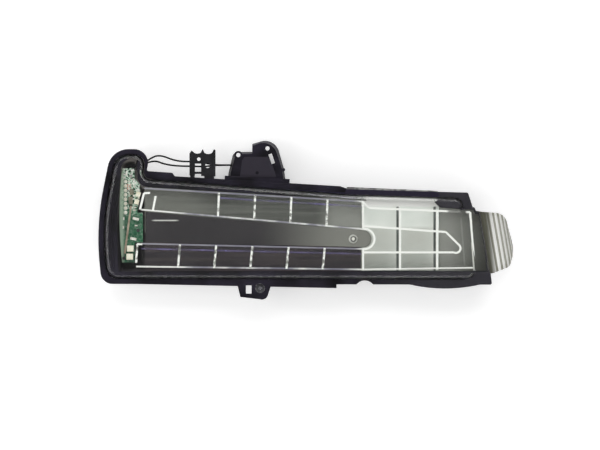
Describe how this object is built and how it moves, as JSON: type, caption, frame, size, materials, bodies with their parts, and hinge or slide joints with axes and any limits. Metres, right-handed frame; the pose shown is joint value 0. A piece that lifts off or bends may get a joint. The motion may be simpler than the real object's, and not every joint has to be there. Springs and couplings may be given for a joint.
{
  "type": "mirror turn signal lamp",
  "caption": "Door mirror turn signal lamp: glossy black housing with upper bracket and lower lug, clear lens wrapping the fluted tail, ribbed light guide, LED board and leads.",
  "frame": {"origin": "centre of the bounding box at its base, the plane the lamp's rear ribs lie on", "axes": "+X along the lamp towards the fluted tail, +Y across it towards the upper bracket, +Z out of the lens"},
  "size_m": [0.2386, 0.0914, 0.0338],
  "materials": {
    "black_moulding": "glossy moulded",
    "clear_lens": "polished clear polycarbonate",
    "clear_guide": "clear acrylic with frosted edges",
    "rubber_black": "matte",
    "dark_plate": "fine grain",
    "mirror_coat": "vapour coated",
    "board_green": "solder mask",
    "solder": "satin",
    "tan_flex": "film",
    "black_matte": "moulded",
    "pin_brass": "tinned",
    "steel": "plated",
    "led_cream": "cream body",
    "chip_grey": "moulded",
    "chip_pale": "ceramic",
    "wire_black": "insulated"
  },
  "bodies": {
    "root": {"housing": "black_moulding", "outer_lens": "clear_lens", "lens_seal": "rubber_black", "light_guide": "clear_guide", "backing_plate": "dark_plate", "reflector": "mirror_coat", "circuit_board": "board_green", "header_body": "dark_plate", "header_pins": "solder", "link_strip": "tan_flex", "guide_rivet": "solder", "lead_grommet": "rubber_black", "lead_clip": "black_matte", "connector_body": "black_matte", "connector_contacts": "pin_brass", "lug_bush": "steel", "vent_cap": "black_matte", "upper_leds": "led_cream", "lower_leds": "led_cream", "driver_chips": "chip_grey", "resistors": "chip_grey", "capacitors": "chip_pale", "lead_upper": "wire_black", "lead_lower": "wire_black"}
  },
  "joints": []
}
